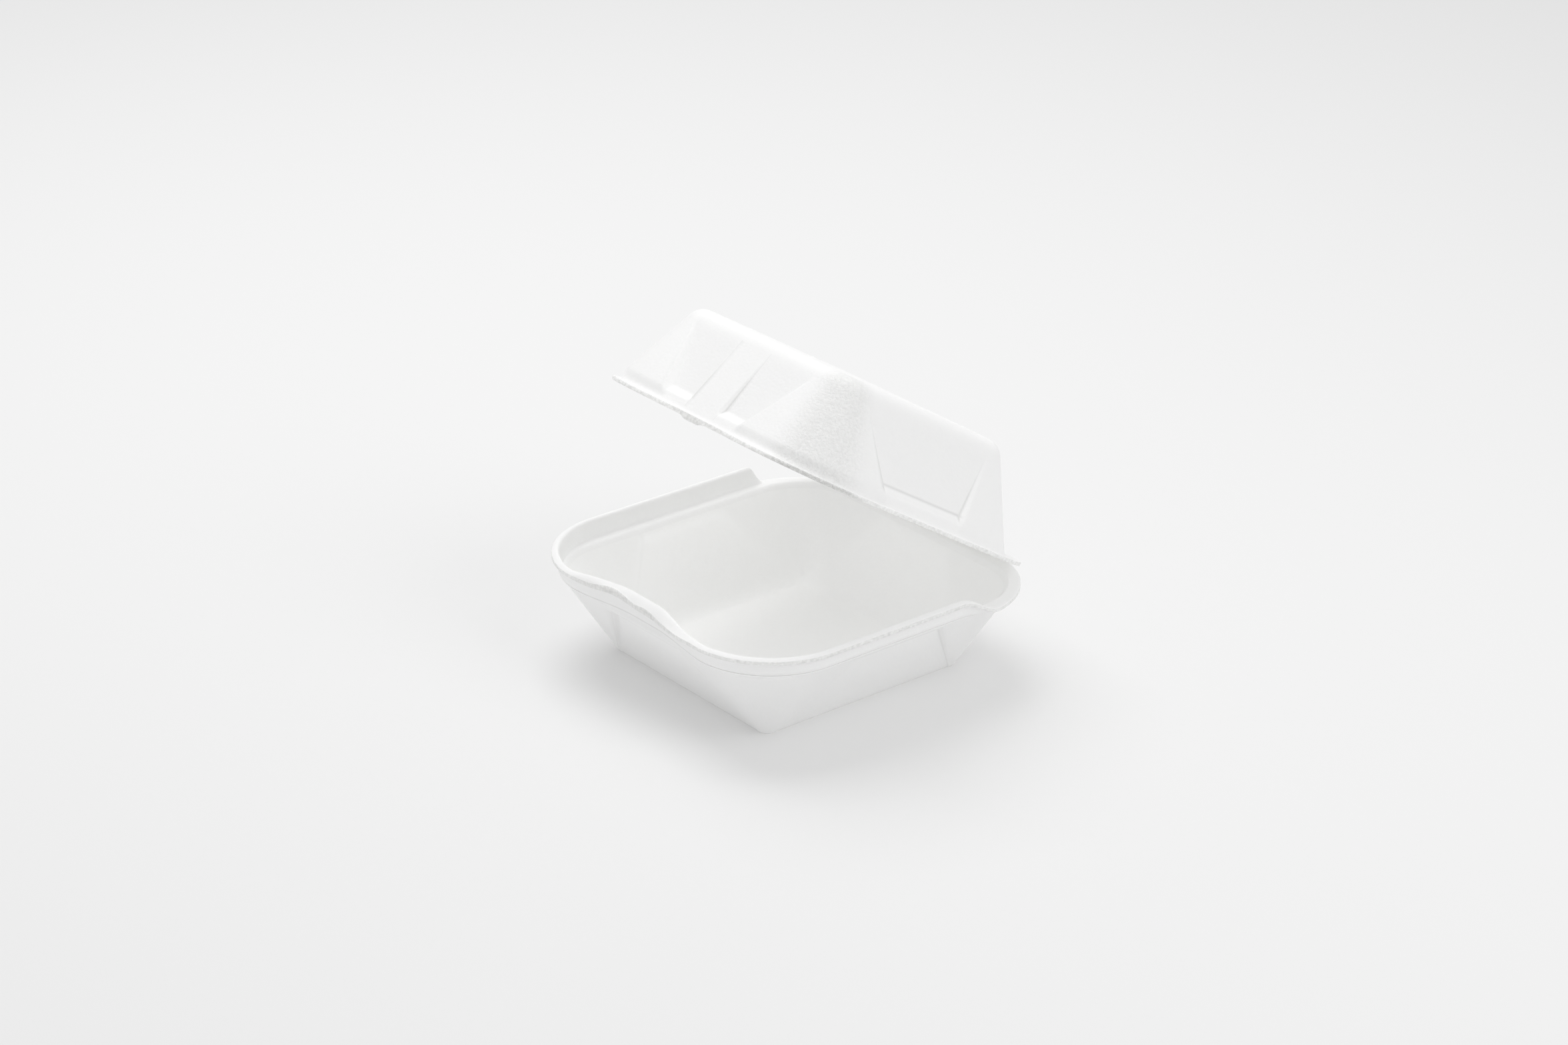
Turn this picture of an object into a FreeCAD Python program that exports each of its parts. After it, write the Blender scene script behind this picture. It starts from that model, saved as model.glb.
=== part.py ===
"""Hinged foam food container: a tray base and a domed lid, joined along one edge.

Millimetres. The base stands on Z = 0, the hinge runs along X behind it (+Y),
and the lock is in front (-Y). The lid is drawn closed and then turned to the
angle at which it stands open at rest.
"""
import FreeCAD, Part
import math
import os

V = FreeCAD.Vector

# Sheet
SHEET = 2.0             # foam wall thickness, across the sheet
LEAN_SHEET = 2.1        # the same measured level through a leaning wall
BRIM_SHEET = 1.6        # sheet pressed thinner in the flanges

# Base: rim, lip and ledge
RIM_HALF_X = 75.0
RIM_HALF_Y = 74.3
RIM_R = 37.0
LEDGE_Z = 35.2          # level on which the lid rests
LIP_HEIGHT = 7.1
LIP_LEAN = 2.6          # lip's outer foot inside the rim
LIP_FOOT = 0.9          # lip's thickness at its foot
LIP_NECK = 1.2          # inset under the trimmed edge
LIP_TOP_SHEET = 2.2
LIP_BELLY = 3.2         # inset of the lip's inner face below its top
LIP_ROUND = 0.6         # rise of the rounded top above the trimmed edge
RIM_CUT = 1.4           # height of the trimmed face
LIP_LENGTH = 112.5      # from the front edge to where the lip slopes down
LIP_END_RUN = 5.5       # length of that slope

# Base: walls and floor
FOOT_HALF_X = 47.25
FOOT_HALF_Y = 47.6
FOOT_R = 4.0
FLOOR_INSET = 2.25
WALL_INSET = 5.0        # wall's outer face inside the rim, at the ledge
WALL_TOP_R = 27.0
WALL_TOP_DROP = 1.2     # wall's top below the ledge
WALL_TOP_HALF_X = RIM_HALF_X - WALL_INSET
WALL_TOP_HALF_Y = RIM_HALF_Y - WALL_INSET
WALL_TOP_Z = LEDGE_Z - WALL_TOP_DROP
RIM_Z = LEDGE_Z + LIP_HEIGHT
REACH = RIM_R / 2       # how far the cutters run past what they cut

# Pressed panels of the base walls
PANEL_FOOT_Z = 1.0
PANEL_FOOT_HALF = 43.0
PANEL_TOP_HALF = 20.5
PANEL_TOP_DROP = 3.0    # below the wall's top
PANEL_FOOT_DEPTH = 0.4
PANEL_TOP_DEPTH = 2.6
PANEL_DRAFT = 1.6       # how far a panel's sides lean out over its cutter
PANEL_REACH = 9.0
PANEL_TOP_Z = WALL_TOP_Z - PANEL_TOP_DROP

# Lock: in front the lip swings inward and rises into a catch
LOCK_X = -2.0
CATCH_HALF = 34.0       # where it leaves the plain lip
CATCH_STEPS = 6         # sections on each side of its middle
CATCH_BAY = 3.4         # how far its foot moves in from the lip's
CATCH_EDGE = 3.0        # and its trimmed edge
CATCH_EDGE_RISE = 0.6
CATCH_CREST = 4.5       # and its crest
CATCH_CREST_RISE = 2.1
CATCH_ROUND = 1.0
SLOT_X = -2.5           # slit under the trimmed edge, from the lock's middle
SLOT_HALF = 4.0
SLOT_HEIGHT = 0.6
SLOT_DEPTH = 1.6

# Hinge
HINGE_INSET = 0.5       # axis inside the rim's back edge
HINGE_DROP = 1.2        # axis below the ledge
HINGE_HALF = 37.0       # straight part of the back edge
BACK_EDGE = 0.75        # base's back edge short of the axis
BEAD_R = 0.7            # pressed web at the fold
BEAD_GAP = 0.2
WEB = 1.0
OPEN_ANGLE = 32.5       # lid's opening at rest
HINGE_Y = RIM_HALF_Y - HINGE_INSET
HINGE_Z = LEDGE_Z - HINGE_DROP

# Lid, drawn closed
LID_SEAT = 0.3          # clearance above the ledge
LID_GAP = 0.7           # clearance inside the lip
LID_FRONT_GAP = 2.4
LID_R = 36.0
LID_BRIM = 4.2          # flange width at the sides
LID_BRIM_FRONT = 3.4
LID_BRIM_BACK = 8.8
LID_FOOT_R = 31.0
LID_HEIGHT = 39.3
ROOF_HALF = 47.4
ROOF_FRONT_Y = -49.0
ROOF_BACK_Y = 44.2
ROOF_R = 9.0
ROOF_FILLET = 7.0
LID_Z = LEDGE_Z + LID_SEAT
LID_TOP = LID_Z + BRIM_SHEET
ROOF_Z = LID_Z + LID_HEIGHT
LID_HALF = RIM_HALF_X - LIP_LEAN - LIP_FOOT - LID_GAP
LID_FRONT_Y = LIP_LEAN + LIP_FOOT + LID_FRONT_GAP - RIM_HALF_Y
LID_BACK_Y = HINGE_Y + WEB / 2
LID_FOOT_HALF = LID_HALF - LID_BRIM
LID_FOOT_FRONT = LID_FRONT_Y + LID_BRIM_FRONT
LID_FOOT_BACK = LID_BACK_Y - LID_BRIM_BACK

# Pressed panels of the lid, from the flange's underside
LID_PANEL_LOW = 7.0
LID_PANEL_HIGH = 33.0
LID_PANEL_LOW_HALF = 22.6
LID_PANEL_HIGH_HALF = 35.0
LID_PANEL_LOW_DEPTH = 2.4
LID_PANEL_HIGH_DEPTH = 0.3
LID_PANEL_SHIFT = -3.0  # towards the front, as the roof lies
BAND_HALF = 8.8         # raised band between the front panels
TAB_HALF = 7.0
TAB_DROP = 0.9
NOTCH_HALF = 9.0        # flange set back to clear the catch
NOTCH_RUN = 15.0
NOTCH_GAP = 0.5


def outline(half_x, front, back, radius, z):
    """Closed rounded rectangle at height z, from front to back in Y."""
    x, r = half_x, radius
    c = r * (1.0 - math.sqrt(0.5))
    corners = [
        (V(x - r, front, z), V(x - c, front + c, z), V(x, front + r, z)),
        (V(x, back - r, z), V(x - c, back - c, z), V(x - r, back, z)),
        (V(-x + r, back, z), V(-x + c, back - c, z), V(-x, back - r, z)),
        (V(-x, front + r, z), V(-x + c, front + c, z), V(-x + r, front, z)),
    ]
    edges = []
    for i, (start, mid, end) in enumerate(corners):
        edges.append(Part.Arc(start, mid, end).toShape())
        edges.append(Part.makeLine(end, corners[(i + 1) % 4][0]))
    return Part.Wire(edges)


def centred(half_x, half_y, radius, z):
    """Rounded rectangle centred on the Z axis."""
    return outline(half_x, -half_y, half_y, radius, z)


def rim(inset, z):
    """The rim's outline, set in by inset."""
    return centred(RIM_HALF_X - inset, RIM_HALF_Y - inset, RIM_R - inset, z)


def skin(*wires):
    """Solid ruled through a stack of outlines."""
    return Part.makeLoft(list(wires), True, True)


def prism(points, low, high):
    """Upright block over a polygon of (x, y)."""
    ring = [V(x, y, low) for x, y in points]
    return Part.Face(Part.makePolygon(ring + ring[:1])).extrude(V(0, 0, high - low))


def panel(foot, top, foot_half, top_half):
    """Pocket pressed into a wall that faces -Y.

    foot and top are (y, z) of the pocket's floor. Its sides lean out as the
    cutter runs clear of the wall.
    """
    def ring(back, grow):
        return Part.makePolygon([
            V(-foot_half - grow, foot[0] - back, foot[1] - grow),
            V(foot_half + grow, foot[0] - back, foot[1] - grow),
            V(top_half + grow, top[0] - back, top[1] + grow),
            V(-top_half - grow, top[0] - back, top[1] + grow),
            V(-foot_half - grow, foot[0] - back, foot[1] - grow),
        ])

    return skin(ring(0.0, 0.0), ring(PANEL_REACH, PANEL_DRAFT))


def turned(shape, degrees):
    """Copy turned about the Z axis."""
    copy = shape.copy()
    copy.rotate(V(0, 0, 0), V(0, 0, 1), degrees)
    return copy


def base_panels(inward, low):
    """The four pockets of the base; inward is 0 on the outer face."""
    def pocket(foot_half, top_half):
        def wall(z):
            return foot_half + (top_half - foot_half) * z / WALL_TOP_Z

        foot = inward + PANEL_FOOT_DEPTH - wall(PANEL_FOOT_Z)
        top = inward + PANEL_TOP_DEPTH - wall(PANEL_TOP_Z)
        slope = (top - foot) / (PANEL_TOP_Z - PANEL_FOOT_Z)
        spread = (PANEL_FOOT_HALF - PANEL_TOP_HALF) / (PANEL_TOP_Z - PANEL_FOOT_Z)
        down = PANEL_FOOT_Z - low
        return panel((foot - slope * down, low), (top, PANEL_TOP_Z + 0.6 * inward),
                     PANEL_FOOT_HALF + spread * down, PANEL_TOP_HALF)

    front = pocket(FOOT_HALF_Y, WALL_TOP_HALF_Y)
    side = pocket(FOOT_HALF_X, WALL_TOP_HALF_X)
    return [front, turned(side, 90), turned(front, 180), turned(side, 270)]


def lip_keep():
    """Block over the length of the lip, sloped down at both its ends."""
    end = LIP_LENGTH - RIM_HALF_Y
    slope = LIP_END_RUN / (RIM_Z - LEDGE_Z)
    front = -RIM_HALF_Y - REACH
    side = [(front, LEDGE_Z - REACH), (end + (1 + REACH / LIP_HEIGHT) * LIP_END_RUN, LEDGE_Z - REACH),
            (end - slope * REACH, RIM_Z + REACH), (front, RIM_Z + REACH)]
    ring = [V(-RIM_HALF_X - REACH, y, z) for y, z in side]
    return Part.Face(Part.makePolygon(ring + ring[:1])).extrude(V(2 * (RIM_HALF_X + REACH), 0, 0))


def brim_keep():
    """Block over the back brim, which widens out of the lip's foot."""
    end = LIP_LENGTH - RIM_HALF_Y
    foot = RIM_HALF_X - LIP_LEAN - LIP_FOOT
    run = LIP_END_RUN / (LIP_LEAN + LIP_FOOT)
    out = RIM_HALF_X + REACH
    wide = end + (out - foot) * run
    return prism([(-foot, end), (foot, end), (out, wide), (out, wide + REACH),
                  (-out, wide + REACH), (-out, wide)], LEDGE_Z - REACH, RIM_Z)


def catch():
    """Inward part of the lip, carried through sections, that holds the lid's edge."""
    def ring(x):
        share = 0.5 + 0.5 * math.cos(math.pi * (x - LOCK_X) / CATCH_HALF)
        foot = LIP_LEAN + CATCH_BAY * share
        edge = CATCH_EDGE * share
        neck = edge + LIP_NECK * (1.0 - share)
        edge_z = RIM_Z + CATCH_EDGE_RISE * share
        crest = LIP_BELLY + CATCH_CREST * share
        crest_z = RIM_Z + LIP_ROUND + (CATCH_CREST_RISE - LIP_ROUND) * share
        inner = LIP_LEAN + LIP_FOOT + CATCH_CREST * share
        under = LEDGE_Z - BRIM_SHEET
        section = [(WALL_INSET, under), (foot, LEDGE_Z), (neck, edge_z - RIM_CUT - 0.3),
                   (edge, edge_z - RIM_CUT), (edge, edge_z),
                   (crest - CATCH_ROUND, crest_z), (crest, crest_z - CATCH_ROUND),
                   (inner, LEDGE_Z), (WALL_INSET + LEAN_SHEET, LEDGE_Z),
                   (WALL_INSET + 1.5 * LEAN_SHEET, under)]
        if inner > WALL_INSET + LEAN_SHEET:
            section[7:9] = [(inner, LEDGE_Z), (inner + 0.1, LEDGE_Z - 0.4)]
        points = [V(x, inset - RIM_HALF_Y, z) for inset, z in section]
        return Part.makePolygon(points + points[:1])

    stations = [LOCK_X + CATCH_HALF * i / CATCH_STEPS for i in range(-CATCH_STEPS, CATCH_STEPS + 1)]
    return skin(*[ring(x) for x in stations])


def catch_gap():
    """Block that clears the plain lip and its foot for the catch."""
    front = -RIM_HALF_Y - REACH
    left, right = LOCK_X - CATCH_HALF, LOCK_X + CATCH_HALF
    return prism([(left, front), (right, front), (right, 0.0), (left, 0.0)],
                 LEDGE_Z - REACH, RIM_Z + REACH)


def make_lip():
    """Raised lip on three sides, open where the catch stands."""
    outer = skin(rim(LIP_LEAN, LEDGE_Z), rim(LIP_NECK, RIM_Z - RIM_CUT - 0.3),
                 rim(0.0, RIM_Z - RIM_CUT), rim(0.0, RIM_Z), rim(LIP_NECK, RIM_Z + LIP_ROUND))
    hollow = skin(rim(LIP_LEAN + LIP_FOOT, LEDGE_Z), rim(LIP_BELLY, RIM_Z - LIP_ROUND),
                  rim(LIP_TOP_SHEET, RIM_Z + LIP_ROUND + 0.1))
    return outer.cut(hollow).common(lip_keep()).cut(catch_gap())


def make_base():
    """Tray with its ledge, lip, catch and back flange."""
    outer = skin(centred(FOOT_HALF_X, FOOT_HALF_Y, FOOT_R, 0.0),
                 centred(WALL_TOP_HALF_X, WALL_TOP_HALF_Y, WALL_TOP_R, WALL_TOP_Z))
    outer = outer.cut(base_panels(0.0, -2.0 * SHEET))
    collar = skin(rim(LIP_LEAN + LIP_FOOT, WALL_TOP_Z - 0.4), rim(LIP_LEAN, LEDGE_Z))
    collar = collar.cut(catch_gap())

    under = LEDGE_Z - BRIM_SHEET
    back = skin(outline(RIM_HALF_X, -RIM_HALF_Y, HINGE_Y, RIM_R, under),
                outline(RIM_HALF_X, -RIM_HALF_Y, HINGE_Y, RIM_R, LEDGE_Z))
    back = back.common(brim_keep())

    mouth_x = WALL_TOP_HALF_X - LEAN_SHEET
    mouth_y = WALL_TOP_HALF_Y - LEAN_SHEET
    mouth_r = WALL_TOP_R - SHEET
    cavity = skin(centred(FOOT_HALF_X - FLOOR_INSET, FOOT_HALF_Y - FLOOR_INSET,
                          FOOT_R - 1.0, SHEET),
                  centred(mouth_x, mouth_y, mouth_r, LEDGE_Z))
    cavity = cavity.cut(base_panels(LEAN_SHEET, -SHEET))
    brim = skin(centred(mouth_x, mouth_y, mouth_r, LEDGE_Z),
                centred(mouth_x, mouth_y, mouth_r, LEDGE_Z + REACH))
    tray = outer.fuse([collar, back]).cut(brim).cut(cavity).fuse([make_lip(), catch()])

    slit = Part.makeBox(2 * SLOT_HALF, CATCH_EDGE + SLOT_DEPTH, SLOT_HEIGHT,
                        V(LOCK_X + SLOT_X - SLOT_HALF, -RIM_HALF_Y,
                          RIM_Z + CATCH_EDGE_RISE - RIM_CUT - SLOT_HEIGHT))
    groove = Part.makeCylinder(BEAD_R + BEAD_GAP, 2 * (HINGE_HALF + BEAD_GAP),
                               V(-HINGE_HALF - BEAD_GAP, HINGE_Y, HINGE_Z), V(1, 0, 0))
    gap = Part.makeBox(2 * RIM_HALF_X, REACH, REACH,
                       V(-RIM_HALF_X, HINGE_Y - BACK_EDGE, HINGE_Z - REACH / 2))
    return tray.cut([slit, groove, gap]).removeSplitter()


def lid_panels(inward):
    """Pockets of the lid's four walls, drawn for a closed lid."""
    def pocket(foot, top, shift):
        def at(rise, depth):
            ratio = (rise - BRIM_SHEET) / (LID_HEIGHT - BRIM_SHEET)
            return foot + (top - foot) * ratio + depth + inward

        cutter = panel((at(LID_PANEL_LOW, LID_PANEL_LOW_DEPTH), LID_Z + LID_PANEL_LOW - 0.4 * inward),
                       (at(LID_PANEL_HIGH, LID_PANEL_HIGH_DEPTH), LID_Z + LID_PANEL_HIGH - inward),
                       LID_PANEL_LOW_HALF, LID_PANEL_HIGH_HALF)
        cutter.translate(V(shift, 0, 0))
        return cutter

    half = BAND_HALF - 0.5 * inward
    band = Part.makeBox(2 * half, RIM_HALF_Y + REACH, LID_HEIGHT + REACH,
                        V(LOCK_X - half, -RIM_HALF_Y - REACH, LID_Z))
    side = pocket(-LID_FOOT_HALF, -ROOF_HALF, LID_PANEL_SHIFT)
    other = pocket(-LID_FOOT_HALF, -ROOF_HALF, -LID_PANEL_SHIFT)
    rear = pocket(-LID_FOOT_BACK, -ROOF_BACK_Y, 0.0)
    front = pocket(LID_FOOT_FRONT, ROOF_FRONT_Y, LOCK_X)
    return [front.cut(band), turned(side, 90), turned(other, 270), turned(rear, 180)]


def crowned(solid, z, radius):
    """The solid with the edges of its flat top rounded."""
    edges = [e for e in solid.Edges if all(abs(v.Point.z - z) < 1e-6 for v in e.Vertexes)]
    return solid.makeFillet(radius, edges)


def make_lid():
    """Domed lid with its flange, lock tab and hinge bead, closed."""
    flange = skin(outline(LID_HALF, LID_FRONT_Y, LID_BACK_Y, LID_R, LID_Z),
                  outline(LID_HALF, LID_FRONT_Y, LID_BACK_Y, LID_R, LID_TOP))
    dome = skin(outline(LID_FOOT_HALF, LID_FOOT_FRONT, LID_FOOT_BACK, LID_FOOT_R, LID_TOP),
                outline(ROOF_HALF, ROOF_FRONT_Y, ROOF_BACK_Y, ROOF_R, ROOF_Z))
    dome = crowned(dome, ROOF_Z, ROOF_FILLET).cut(lid_panels(0.0))
    t = LEAN_SHEET - 0.8
    ceiling = ROOF_Z - SHEET
    inner = skin(outline(LID_FOOT_HALF - t, LID_FOOT_FRONT + t, LID_FOOT_BACK - t,
                         LID_FOOT_R - SHEET, LID_Z),
                 outline(ROOF_HALF - t, ROOF_FRONT_Y + t, ROOF_BACK_Y - t,
                         ROOF_R - SHEET, ceiling))
    inner = crowned(inner, ceiling, ROOF_FILLET - 1.5).cut(lid_panels(LEAN_SHEET))
    bay = LIP_BELLY + CATCH_CREST + NOTCH_GAP - RIM_HALF_Y
    front = -RIM_HALF_Y - REACH
    side = NOTCH_HALF + NOTCH_RUN
    notch = prism([(LOCK_X - side, front), (LOCK_X + side, front), (LOCK_X + side, LID_FRONT_Y),
                   (LOCK_X + NOTCH_HALF, bay), (LOCK_X - NOTCH_HALF, bay),
                   (LOCK_X - side, LID_FRONT_Y)], LID_Z, LID_TOP)
    tab = Part.makeBox(2 * TAB_HALF, SHEET, TAB_DROP + BRIM_SHEET,
                       V(LOCK_X - TAB_HALF, bay + 0.2, LID_Z - TAB_DROP))
    bead = Part.makeCylinder(BEAD_R, 2 * HINGE_HALF, V(-HINGE_HALF, HINGE_Y, HINGE_Z), V(1, 0, 0))
    web = Part.makeBox(2 * HINGE_HALF, WEB, LID_Z - HINGE_Z + BRIM_SHEET / 2,
                       V(-HINGE_HALF, HINGE_Y - WEB / 2, HINGE_Z))
    return flange.cut(notch).fuse(dome).cut(inner).fuse([tab, bead, web]).removeSplitter()


def export(shape, name):
    """Write one node as parts/NAME.step."""
    solid = shape.Solids[0] if len(shape.Solids) == 1 else shape
    solid.exportStep(os.path.join("parts", name + ".step"))


os.makedirs("parts", exist_ok=True)
lid = make_lid()
lid.rotate(V(0, HINGE_Y, HINGE_Z), V(-1, 0, 0), OPEN_ANGLE)
export(make_base(), "base")
export(lid, "lid")
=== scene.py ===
"""Dressed model of a hinged foam food container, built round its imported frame.

Sizes are in millimetres until a mesh is made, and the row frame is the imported
model's: the base stands on Z = 0, the hinge is behind (+Y) and the lock in front.
"""
from __future__ import annotations

import logging
import math
from dataclasses import dataclass, field
from enum import Enum

import bpy
import numpy as np
from mathutils import Matrix, Vector

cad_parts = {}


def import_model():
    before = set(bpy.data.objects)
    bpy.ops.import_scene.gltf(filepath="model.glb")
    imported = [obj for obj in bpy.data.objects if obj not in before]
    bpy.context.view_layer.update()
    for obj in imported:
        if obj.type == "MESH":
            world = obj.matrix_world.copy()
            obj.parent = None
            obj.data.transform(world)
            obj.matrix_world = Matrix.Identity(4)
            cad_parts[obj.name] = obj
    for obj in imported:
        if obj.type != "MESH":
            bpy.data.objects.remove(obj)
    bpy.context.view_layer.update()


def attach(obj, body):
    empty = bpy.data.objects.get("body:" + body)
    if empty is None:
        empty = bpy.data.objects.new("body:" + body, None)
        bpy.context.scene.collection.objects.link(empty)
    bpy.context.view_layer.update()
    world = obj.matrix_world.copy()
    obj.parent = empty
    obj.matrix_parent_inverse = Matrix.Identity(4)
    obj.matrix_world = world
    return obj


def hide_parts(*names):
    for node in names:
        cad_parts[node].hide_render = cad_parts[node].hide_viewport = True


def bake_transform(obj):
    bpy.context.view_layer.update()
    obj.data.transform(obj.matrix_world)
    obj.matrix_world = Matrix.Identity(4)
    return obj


LOG = logging.getLogger("foam_box")
MM = 0.001
# Mesh mask of painted shade: dark lines drawn into the colour along creases, panel edges and the
# lip's foot.
CREASE_SHADE_MASK = "crease"
# Mesh mask of the lid's crinkled near corner: it raises real bumps there and also darkens the
# colour as painted shade.
CRINKLE_SHADE_MASK = "stretch"
MIN_RADIUS = 0.5
SHELL_SHARP = math.radians(50)
WEB_SHARP = math.radians(40)
FAN_OUT = (0.02, 0.3, 0.6, 0.85)
FAN_IN = (0.93, 0.8, 0.6, 0.4, 0.2, 0.02)
HINGE_Y = 73.8
HINGE_Z = 34.0
# Places along half a side, counted from its middle.
BAND_TOP, BAND_FOOT, PANEL_FLOOR, PANEL_EDGE, SIDE_END = range(1, 6)

Triple = tuple[float, float, float]
Stretch = tuple[float, float, int]


class Face(Enum):
    """Which surface of the sheet a row of points lies on."""

    OUTER = 0
    CUT = 1
    INNER = 2


def ease(t: np.ndarray | float) -> np.ndarray:
    """Smooth step from 0 to 1, flat at both ends."""
    s = np.clip(t, 0.0, 1.0)
    return s * s * (3.0 - 2.0 * s)


def spread(start: float, end: float, count: int) -> list[float]:
    """Evenly spaced values from start, without end."""
    return [float(v) for v in np.linspace(start, end, count, endpoint=False)]


def stepped(stretches: tuple[Stretch, ...]) -> list[float]:
    """Values spread over several stretches of (start, end, count)."""
    return [v for stretch in stretches for v in spread(*stretch)]


def hump(t: np.ndarray) -> np.ndarray:
    """Smooth bell, 1 at 0 and 0 from 1 on either side."""
    return 0.5 + 0.5 * np.cos(np.pi * np.clip(t, -1.0, 1.0))


def nearness(index: int, rows: tuple[int, int], fade: float) -> float:
    """1 on a span of rows, falling to 0 over some rows beside it."""
    return max(0.0, 1.0 - max(rows[0] - index, index - rows[1], 0) / fade)


@dataclass(frozen=True)
class Ring:
    """One closed row of a shell: a rounded rectangle at a height."""

    half_x: float
    front: float
    back: float
    radius: float
    z: float
    face: Face = Face.OUTER
    panel: float = 0.0
    panel_half: float = 20.5
    swell: float = 0.0

    def inset(self, by: float, z: float) -> "Ring":
        """The row moved inward by a distance, at another height."""
        return Ring(self.half_x - by, self.front + by, self.back - by,
                    max(self.radius - by, MIN_RADIUS), z, self.face, 0.0, self.panel_half)


def bent(a: Ring, b: Ring, c: Ring, count: int) -> list[Ring]:
    """Rows round an edge, on the curve that touches a-b and b-c.

    Args:
        a: Row where the curve leaves the first surface.
        b: Row at the sharp edge between the surfaces.
        c: Row where the curve meets the second surface.
        count: Number of rows, both ends among them.

    Returns:
        The rows from a to c.
    """
    rows = []
    for t in np.linspace(0.0, 1.0, count):
        weight = ((1 - t) ** 2, 2 * t * (1 - t), t * t)
        mixed = [sum(w * getattr(r, name) for w, r in zip(weight, (a, b, c)))
                 for name in ("half_x", "front", "back", "radius", "z")]
        panel = a.panel * (1 - t) + c.panel * t
        rows.append(Ring(*mixed, a.face, panel, a.panel_half * (1 - t) + c.panel_half * t,
                         a.swell * (1 - t) + c.swell * t))
    return rows


@dataclass
class Girth:
    """Columns of points round a shell, shared by all its rows.

    Each side is divided at a middle band and at the edges of its pressed
    panel, so that those creases always fall on a column.
    """

    cells: tuple[int, int, int, int, int] = (12, 4, 18, 4, 14)
    corner_cells: int = 30
    end_cells: int = 0
    end_turn: float = 0.16
    band_half: float = 9.0
    band_crease: float = 1.2
    panel_crease: float = 1.6
    end_gap: float = 0.2
    band_gap: float = 2.0
    side: np.ndarray = field(init=False)
    place: np.ndarray = field(init=False)
    turn: np.ndarray = field(init=False)

    def __post_init__(self) -> None:
        """Lists every column: its side, place along it and turn round the corner."""
        half = [zone + j / n for zone, n in enumerate(self.cells) for j in range(n)]
        half.append(SIDE_END)
        along = [-v for v in reversed(half[1:])] + half
        side, place, turn = [], [], []
        for k in range(4):
            corner = self.corner(k)
            side += [k] * (len(along) + len(corner))
            place += along + [SIDE_END] * len(corner)
            turn += [0.0] * len(along) + corner
        self.side, self.turn = np.array(side), np.array(turn)
        self.place = np.array(place, float)

    def corner(self, k: int) -> list[float]:
        """Turns of the columns in the corner after a side.

        Args:
            k: The side, of 0 in front, 1 right, 2 behind and 3 left.

        Returns:
            Shares of the quarter turn, closer together where the lip ends.
        """
        first = self.end_turn if self.end_cells and k in (1, 2) else 0.0
        turns = spread(0.0, first, self.end_cells) if first else []
        turns += spread(first, 1.0, self.corner_cells)
        turns = turns[1:]
        return [1.0 - t for t in reversed(turns)] if k == 2 else turns

    @property
    def count(self) -> int:
        """Number of columns."""
        return len(self.side)

    def in_panel(self) -> np.ndarray:
        """1 on a side's panel, easing to 0 over its crease."""
        return np.where(self.turn > 0, 0.0, 1.0 - ease(np.abs(self.place) - PANEL_FLOOR))

    def in_band(self) -> np.ndarray:
        """1 on the front's middle band, easing to 0 over its crease."""
        return np.where((self.turn > 0) | (self.side > 0), 0.0,
                        1.0 - ease(np.abs(self.place) - BAND_TOP))

    def on_panel_edge(self) -> np.ndarray:
        """1 on the columns at a panel's two outer edges, 0 one column away."""
        cells = self.cells[PANEL_FLOOR]
        last = 1.0 - np.abs(self.place - PANEL_FLOOR - 1.0 / cells) * cells
        first = 1.0 - np.abs(self.place + PANEL_EDGE) * cells
        return np.where(self.turn > 0, 0.0, np.clip(np.maximum(first, last), 0.0, 1.0))

    def on_band_edge(self) -> np.ndarray:
        """1 on the columns of the band's two visible creases, 0 one column away."""
        cells = self.cells[BAND_TOP]
        right = 1.0 - np.abs(self.place - BAND_FOOT + 1.0 / cells) * cells
        left = 1.0 - np.abs(self.place + BAND_TOP) * cells
        return np.where((self.turn > 0) | (self.side > 0), 0.0,
                        np.clip(np.maximum(left, right), 0.0, 1.0))

    def along(self, straight: np.ndarray, panel_half: float, centres: tuple[float, ...],
              band_x: float, crease: float) -> np.ndarray:
        """Distance of each column from the middle of its side.

        Args:
            straight: Half of the straight part of each column's side.
            panel_half: Half width of the panel at this row.
            centres: Middle of the panel on each of the four sides.
            band_x: Middle of the band on the front.
            crease: Width of the panel's creases at this row.

        Returns:
            Signed distances, positive in the direction of travel.
        """
        out = np.zeros(self.count)
        for k in range(4):
            on = self.side == k
            end = float(straight[on][0])
            mid = band_x if k == 0 else centres[k]
            wide = self.band_crease / 2
            fold = crease / 2
            reach = min(panel_half, end - abs(centres[k]) - fold - self.end_gap)
            band = min(self.band_half, reach - self.band_gap)
            knots = [-end, centres[k] - reach - fold, centres[k] - reach + fold,
                     mid - band - wide, mid - band + wide, mid, mid + band - wide,
                     mid + band + wide, centres[k] + reach - fold, centres[k] + reach + fold, end]
            out[on] = np.interp(self.place[on], np.arange(-SIDE_END, SIDE_END + 1), knots)
        return out

    def outline(self, ring: Ring, length: np.ndarray) -> np.ndarray:
        """Points of a row before its panels are pressed.

        Args:
            ring: The row's outline.
            length: Distance of each column from the start of its side.

        Returns:
            Array of (x, y) for all columns.
        """
        one = np.ones(self.count)
        turned = length + self.turn * ring.radius * math.pi / 2
        return walk(self.side, turned, ring.half_x * one, ring.front * one, ring.back * one,
                    ring.radius * one)


ALONG = np.array([(1, 0), (0, 1), (-1, 0), (0, -1)], float)
AWAY = np.array([(0, -1), (1, 0), (0, 1), (-1, 0)], float)


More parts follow.
